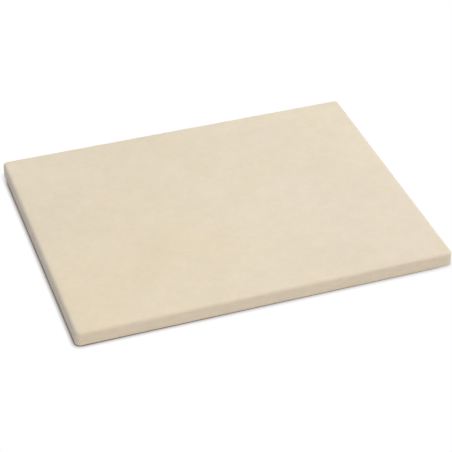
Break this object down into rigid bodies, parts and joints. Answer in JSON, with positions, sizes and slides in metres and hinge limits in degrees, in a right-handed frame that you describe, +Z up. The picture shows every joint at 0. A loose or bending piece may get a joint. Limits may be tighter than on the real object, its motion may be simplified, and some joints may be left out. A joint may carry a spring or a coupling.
{
  "type": "pizza stone",
  "caption": "Flat rectangular slab of pale beige unglazed ceramic with rounded corners and softened rims, for baking on its upper face.",
  "frame": {"origin": "centre of the flat face that the stone rests on", "axes": "+X along the long side, +Y from the front long side to the back one, +Z up out of the baking face"},
  "size_m": [0.38, 0.3, 0.016],
  "materials": {
    "cordierite": "pale beige, unglazed and matte, fine even grain"
  },
  "bodies": {
    "root": {"stone_slab": "cordierite"}
  },
  "joints": []
}
